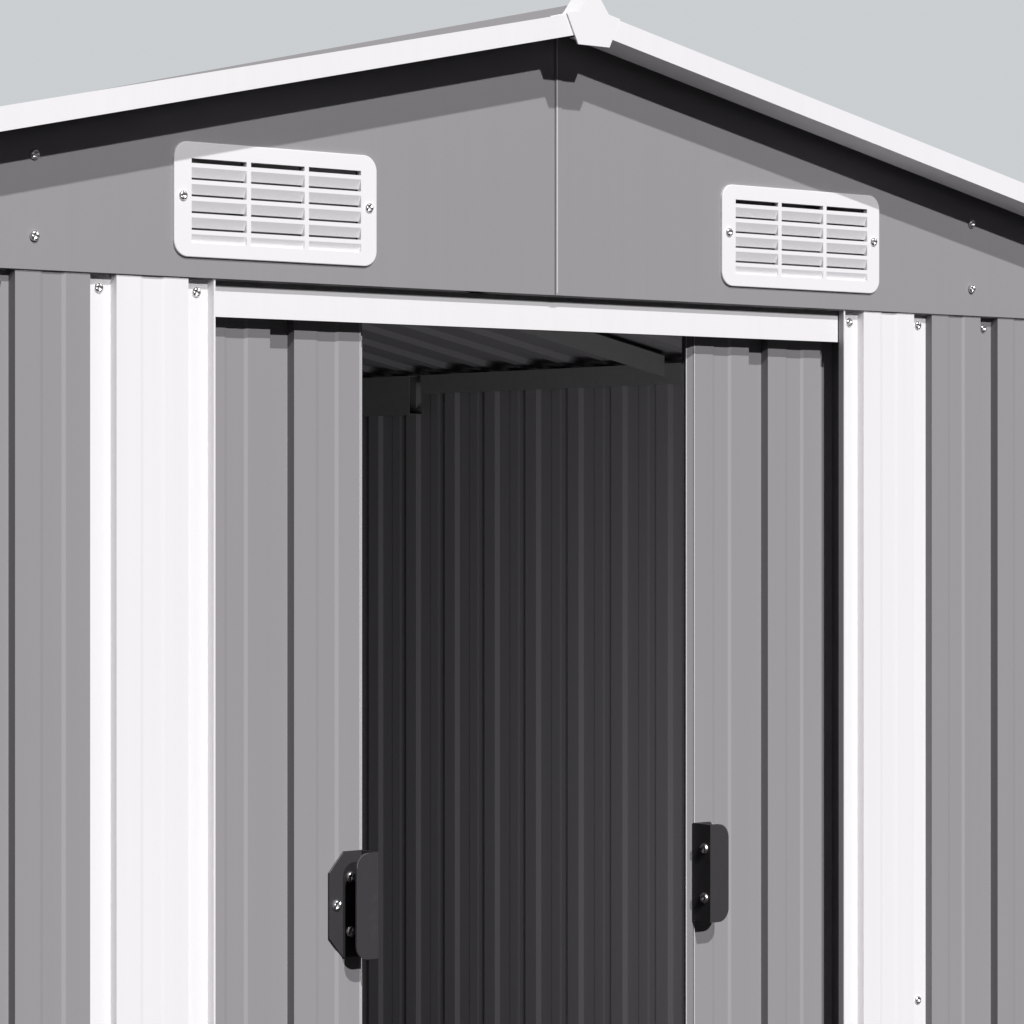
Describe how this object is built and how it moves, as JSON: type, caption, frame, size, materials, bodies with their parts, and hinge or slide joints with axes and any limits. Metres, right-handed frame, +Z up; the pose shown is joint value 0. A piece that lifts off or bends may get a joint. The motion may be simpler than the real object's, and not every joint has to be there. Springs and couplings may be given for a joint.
{
  "type": "gabled metal storage shed",
  "caption": "Gabled storage shed of ribbed grey sheet steel, with white trims and door side panels, louvred gable vents and sliding double doors standing half open.",
  "frame": {"origin": "on the ground, under the middle of the whole shed", "axes": "+X to the right seen from the front, along the gable wall; +Y into the shed, the doors face -Y; +Z up"},
  "size_m": [2.567, 2.163, 1.776],
  "materials": {
    "grey_steel": "satin mid-grey coated sheet steel",
    "white_steel": "satin white coated sheet steel",
    "frame_steel": "grey coated folded steel of the frame and tracks",
    "white_plastic": "white moulded plastic",
    "slider_plastic": "black moulded sliders",
    "handle_steel": "satin black coated steel"
  },
  "bodies": {
    "shed": {"back_base_rail": "frame_steel", "back_corner_rails": "frame_steel", "back_gable_left": "grey_steel", "back_gable_right": "grey_steel", "back_rake_trim_left": "white_steel", "back_rake_trim_right": "white_steel", "back_top_rail": "frame_steel", "back_vents": "white_plastic", "back_wall": "grey_steel", "corner_posts": "white_steel", "door_header": "white_steel", "door_jamb_left": "white_steel", "door_jamb_right": "white_steel", "door_track_bottom": "frame_steel", "door_track_top": "frame_steel", "eave_trims": "white_steel", "front_gable_left": "grey_steel", "front_gable_right": "grey_steel", "front_rake_trim_left": "white_steel", "front_rake_trim_right": "white_steel", "front_top_rail": "frame_steel", "front_vent_left": "white_plastic", "front_vent_right": "white_plastic", "front_wall_left": "grey_steel", "front_wall_right": "grey_steel", "gable_rafters": "frame_steel", "left_wall": "grey_steel", "middle_rafters": "frame_steel", "ridge_beam": "frame_steel", "ridge_cap": "grey_steel", "ridge_end_caps": "white_plastic", "right_wall": "grey_steel", "roof_corner_caps": "white_plastic", "roof_left": "grey_steel", "roof_right": "grey_steel", "side_base_rails": "frame_steel", "side_top_rails": "frame_steel"},
    "left_door": {"left_door_handle": "handle_steel", "left_door_sheet": "grey_steel", "left_door_sliders": "slider_plastic", "left_door_straps": "frame_steel"},
    "right_door": {"right_door_handle": "handle_steel", "right_door_sheet": "grey_steel", "right_door_sliders": "slider_plastic", "right_door_straps": "frame_steel"}
  },
  "joints": [
    {"name": "left_door_slide", "type": "slide", "parent": "shed", "child": "left_door", "axis": [-1, 0, 0], "range_m": [-0.2119, 0.1441]},
    {"name": "right_door_slide", "type": "slide", "parent": "shed", "child": "right_door", "axis": [1, 0, 0], "range_m": [-0.2064, 0.1496]}
  ]
}
